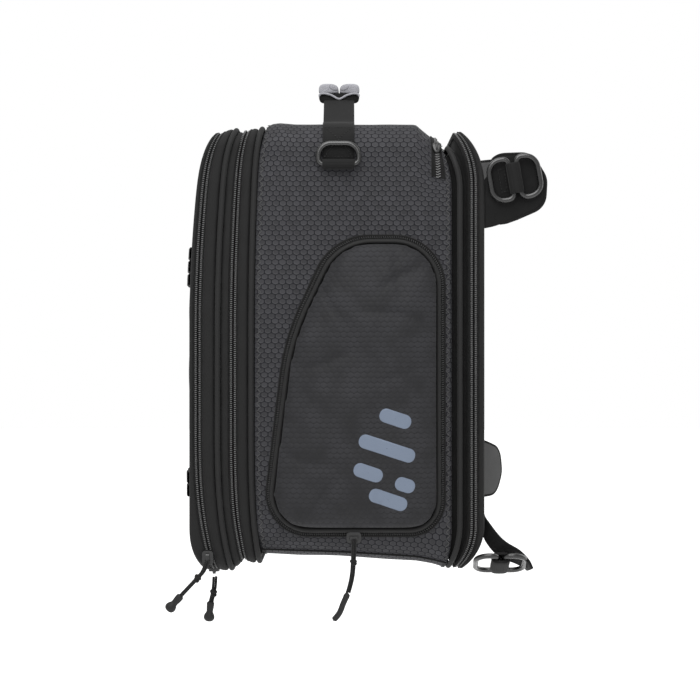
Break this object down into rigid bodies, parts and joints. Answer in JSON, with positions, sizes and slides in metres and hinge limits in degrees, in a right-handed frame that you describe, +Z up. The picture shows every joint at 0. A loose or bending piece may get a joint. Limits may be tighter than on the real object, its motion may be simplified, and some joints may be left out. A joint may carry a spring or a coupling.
{
  "type": "motorcycle tail bag",
  "caption": "Soft motorcycle tail bag with hinged zip lid, expansion section, side pockets, carry handle and a zip-off strap base with webbing wings and D-rings.",
  "frame": {"origin": "centre of the base pad's flat outer face", "axes": "+X is the base face's outward normal, against the seat or backrest; the lid faces -X; +Z up along the bag's height; -Y is the left side"},
  "size_m": [0.3004, 0.3636, 0.4484],
  "materials": {
    "hex_fabric": "matte coated weave with a small honeycomb pattern",
    "band_fabric": "plain matte weave",
    "pocket_fabric": "fine ripstop over foam",
    "piping": "smooth covered cord",
    "zip_tape": "woven zip tape with plastic teeth",
    "slider_metal": "black enamel",
    "ring_metal": "gloss black",
    "webbing": "ribbed webbing",
    "wing_fabric": "stiff double webbing fabric",
    "grip_fabric": "grey neoprene",
    "lining_fabric": "thin lining cloth",
    "board": "extruded board",
    "base_grip": "non-slip coated foam",
    "pull_cord": "round cord",
    "pull_grip": "moulded soft plastic"
  },
  "bodies": {
    "mounting_base": {"base_panel": "band_fabric", "base_pad": "base_grip", "base_board": "board", "base_zip_lower": "zip_tape"},
    "base_zip_slider": {"base_zip_slider": "slider_metal"},
    "bag": {"main_shell": "hex_fabric", "lining": "lining_fabric", "side_boards": "board", "bottom_board": "board", "front_piping": "piping", "expansion_zip_rear": "band_fabric", "expansion_gusset": "band_fabric", "rear_gusset": "band_fabric", "rear_piping": "piping", "base_zip_upper": "band_fabric", "top_zip": "zip_tape", "strap_anchor_left": "webbing", "strap_anchor_right": "webbing", "pocket_rim_left": "pocket_fabric", "pocket_rim_right": "pocket_fabric"},
    "handle": {"handle_strap": "webbing", "handle_wrap": "grip_fabric"},
    "side_ring_left": {"side_ring_left": "ring_metal"},
    "side_ring_right": {"side_ring_right": "ring_metal"},
    "pocket_cover_left": {"pocket_cover_left": "pocket_fabric"},
    "pocket_cover_right": {"pocket_cover_right": "pocket_fabric"},
    "pocket_slider_left": {"pocket_slider_left": "slider_metal"},
    "pocket_slider_right": {"pocket_slider_right": "slider_metal"},
    "pocket_pull_left": {"pocket_pull_cord_left": "pull_cord", "pocket_pull_grip_left": "pull_grip"},
    "pocket_pull_right": {"pocket_pull_cord_right": "pull_cord", "pocket_pull_grip_right": "pull_grip"},
    "top_zip_slider": {"top_zip_slider": "slider_metal"},
    "expansion_slider": {"expansion_slider": "slider_metal"},
    "front_section": {"front_band": "band_fabric", "lid_piping": "piping", "expansion_zip_front": "zip_tape", "lid_zip_frame": "zip_tape"},
    "lid": {"lid_shell": "band_fabric", "lid_zip_lid": "zip_tape", "lid_board": "board", "lash_strips": "webbing"},
    "lid_slider_a": {"lid_slider_a": "slider_metal"},
    "lid_slider_b": {"lid_slider_b": "slider_metal"},
    "lid_pull_a": {"lid_pull_cord_a": "pull_cord", "lid_pull_grip_a": "pull_grip"},
    "lid_pull_b": {"lid_pull_cord_b": "pull_cord", "lid_pull_grip_b": "pull_grip"},
    "wing_upper_left": {"wing_upper_left": "wing_fabric"},
    "wing_ring_upper_left_inner": {"wing_ring_upper_left_inner": "ring_metal"},
    "wing_ring_upper_left_outer": {"wing_ring_upper_left_outer": "ring_metal"},
    "wing_upper_right": {"wing_upper_right": "wing_fabric"},
    "wing_ring_upper_right_inner": {"wing_ring_upper_right_inner": "ring_metal"},
    "wing_ring_upper_right_outer": {"wing_ring_upper_right_outer": "ring_metal"},
    "wing_lower_right": {"wing_lower_right": "wing_fabric"},
    "wing_ring_lower_right_inner": {"wing_ring_lower_right_inner": "ring_metal"},
    "wing_ring_lower_right_outer": {"wing_ring_lower_right_outer": "ring_metal"},
    "wing_lower_left": {"wing_lower_left": "wing_fabric"},
    "wing_ring_lower_left_inner": {"wing_ring_lower_left_inner": "ring_metal"},
    "wing_ring_lower_left_outer": {"wing_ring_lower_left_outer": "ring_metal"}
  },
  "joints": [
    {"name": "zip_off", "type": "slide", "parent": "mounting_base", "child": "bag", "axis": [-1, 0, 0], "range_m": [0, 0.05]},
    {"name": "base_zip_slide", "type": "slide", "parent": "mounting_base", "child": "base_zip_slider", "axis": [0, 0, 1], "range_m": [-0.09, 0.19]},
    {"name": "wing_upper_left_fold", "type": "hinge", "parent": "mounting_base", "child": "wing_upper_left", "pos_m": [-0.0003, -0.1455, 0.1145], "axis": [0, 0, 1], "range_deg": [-42, 75]},
    {"name": "wing_ring_upper_left_inner_swing", "type": "hinge", "parent": "wing_upper_left", "child": "wing_ring_upper_left_inner", "pos_m": [0.01918, -0.151, 0.13418], "axis": [-0.1736, 0, 0.9848], "range_deg": [0, 80]},
    {"name": "wing_ring_upper_left_outer_swing", "type": "hinge", "parent": "wing_upper_left", "child": "wing_ring_upper_left_outer", "pos_m": [0.02509, -0.151, 0.13522], "axis": [0.1736, 0, -0.9848], "range_deg": [0, 80]},
    {"name": "wing_upper_right_fold", "type": "hinge", "parent": "mounting_base", "child": "wing_upper_right", "pos_m": [-0.0003, 0.1455, 0.134], "axis": [0, 0, -1], "range_deg": [-62, 75]},
    {"name": "wing_ring_upper_right_inner_swing", "type": "hinge", "parent": "wing_upper_right", "child": "wing_ring_upper_right_inner", "pos_m": [0.01776, 0.151, 0.15499], "axis": [0.2419, 0, -0.9703], "range_deg": [0, 80]},
    {"name": "wing_ring_upper_right_outer_swing", "type": "hinge", "parent": "wing_upper_right", "child": "wing_ring_upper_right_outer", "pos_m": [0.02358, 0.151, 0.15644], "axis": [-0.2419, 0, 0.9703], "range_deg": [0, 80]},
    {"name": "wing_lower_right_fold", "type": "hinge", "parent": "mounting_base", "child": "wing_lower_right", "pos_m": [-0.0003, 0.1455, -0.118], "axis": [0, 0, -1], "range_deg": [-40, 120]},
    {"name": "wing_ring_lower_right_inner_swing", "type": "hinge", "parent": "wing_lower_right", "child": "wing_ring_lower_right_inner", "pos_m": [0.01351, 0.16709, -0.10617], "axis": [-0.1228, -0.1228, -0.9848], "range_deg": [0, 80]},
    {"name": "wing_ring_lower_right_outer_swing", "type": "hinge", "parent": "wing_lower_right", "child": "wing_ring_lower_right_outer", "pos_m": [0.01769, 0.17127, -0.10721], "axis": [0.1228, 0.1228, 0.9848], "range_deg": [0, 80]},
    {"name": "wing_lower_left_fold", "type": "hinge", "parent": "mounting_base", "child": "wing_lower_left", "pos_m": [-0.0003, -0.131, -0.142], "axis": [0, -0.8988, 0.4384], "range_deg": [0, 75]},
    {"name": "wing_ring_lower_left_inner_swing", "type": "hinge", "parent": "wing_lower_left", "child": "wing_ring_lower_left_inner", "pos_m": [0.0081, -0.14349, -0.16762], "axis": [0, -0.8988, 0.4384], "range_deg": [0, 80]},
    {"name": "wing_ring_lower_left_outer_swing", "type": "hinge", "parent": "wing_lower_left", "child": "wing_ring_lower_left_outer", "pos_m": [0.0141, -0.14349, -0.16762], "axis": [0, 0.8988, -0.4384], "range_deg": [0, 80]},
    {"name": "handle_fold", "type": "hinge", "parent": "bag", "child": "handle", "pos_m": [-0.116, 0, 0.177], "axis": [0, 1, 0], "range_deg": [-30, 30]},
    {"name": "side_ring_left_swing", "type": "hinge", "parent": "bag", "child": "side_ring_left", "pos_m": [-0.116, -0.1558, 0.1452], "axis": [1, 0, 0], "range_deg": [0, 150]},
    {"name": "pocket_cover_left_open", "type": "hinge", "parent": "bag", "child": "pocket_cover_left", "pos_m": [-0.0335, -0.154, -0.028], "axis": [0, 0, 1], "range_deg": [0, 90]},
    {"name": "side_ring_right_swing", "type": "hinge", "parent": "bag", "child": "side_ring_right", "pos_m": [-0.116, 0.1558, 0.1452], "axis": [-1, 0, 0], "range_deg": [0, 150]},
    {"name": "pocket_cover_right_open", "type": "hinge", "parent": "bag", "child": "pocket_cover_right", "pos_m": [-0.0335, 0.154, -0.028], "axis": [0, 0, -1], "range_deg": [0, 90]},
    {"name": "pocket_slider_left_slide", "type": "slide", "parent": "bag", "child": "pocket_slider_left", "axis": [1, 0, 0], "range_m": [-0.04, 0.055]},
    {"name": "pocket_slider_right_slide", "type": "slide", "parent": "bag", "child": "pocket_slider_right", "axis": [0.1193, 0, 0.9929], "range_m": [-0.05, 0.02]},
    {"name": "pocket_pull_left_flip", "type": "hinge", "parent": "pocket_slider_left", "child": "pocket_pull_left", "pos_m": [-0.104, -0.1576, -0.1466], "axis": [-1, 0, 0], "range_deg": [0, 60]},
    {"name": "pocket_pull_right_flip", "type": "hinge", "parent": "pocket_slider_right", "child": "pocket_pull_right", "pos_m": [-0.16438, 0.1576, -0.03762], "axis": [1, 0, 0], "range_deg": [0, 60]},
    {"name": "top_zip_slide", "type": "hinge", "parent": "bag", "child": "top_zip_slider", "pos_m": [-0.0395, -0.126, 0.152], "axis": [1, 0, 0], "range_deg": [-40, 30]},
    {"name": "expansion_slide", "type": "slide", "parent": "bag", "child": "expansion_slider", "axis": [0, 0, 1], "range_m": [-0.1, 0.14]},
    {"name": "expand", "type": "slide", "parent": "bag", "child": "front_section", "axis": [-1, 0, 0], "range_m": [0, 0.045]},
    {"name": "lid_open", "type": "hinge", "parent": "front_section", "child": "lid", "pos_m": [-0.2225, 0, -0.1785], "axis": [0, -1, 0], "range_deg": [0, 100]},
    {"name": "lid_slider_a_slide", "type": "slide", "parent": "front_section", "child": "lid_slider_a", "axis": [0, 1, 0], "range_m": [0, 0.05]},
    {"name": "lid_slider_b_slide", "type": "slide", "parent": "front_section", "child": "lid_slider_b", "axis": [-0.0304, 0, 0.9995], "range_m": [0, 0.27]},
    {"name": "lid_pull_a_swing", "type": "hinge", "parent": "lid_slider_a", "child": "lid_pull_a", "pos_m": [-0.215, -0.125, -0.177], "axis": [1, 0, 0], "range_deg": [-45, 60]},
    {"name": "lid_pull_b_flip", "type": "hinge", "parent": "lid_slider_b", "child": "lid_pull_b", "pos_m": [-0.2186, -0.1519, -0.163], "axis": [-1, 0, 0], "range_deg": [0, 100]}
  ]
}
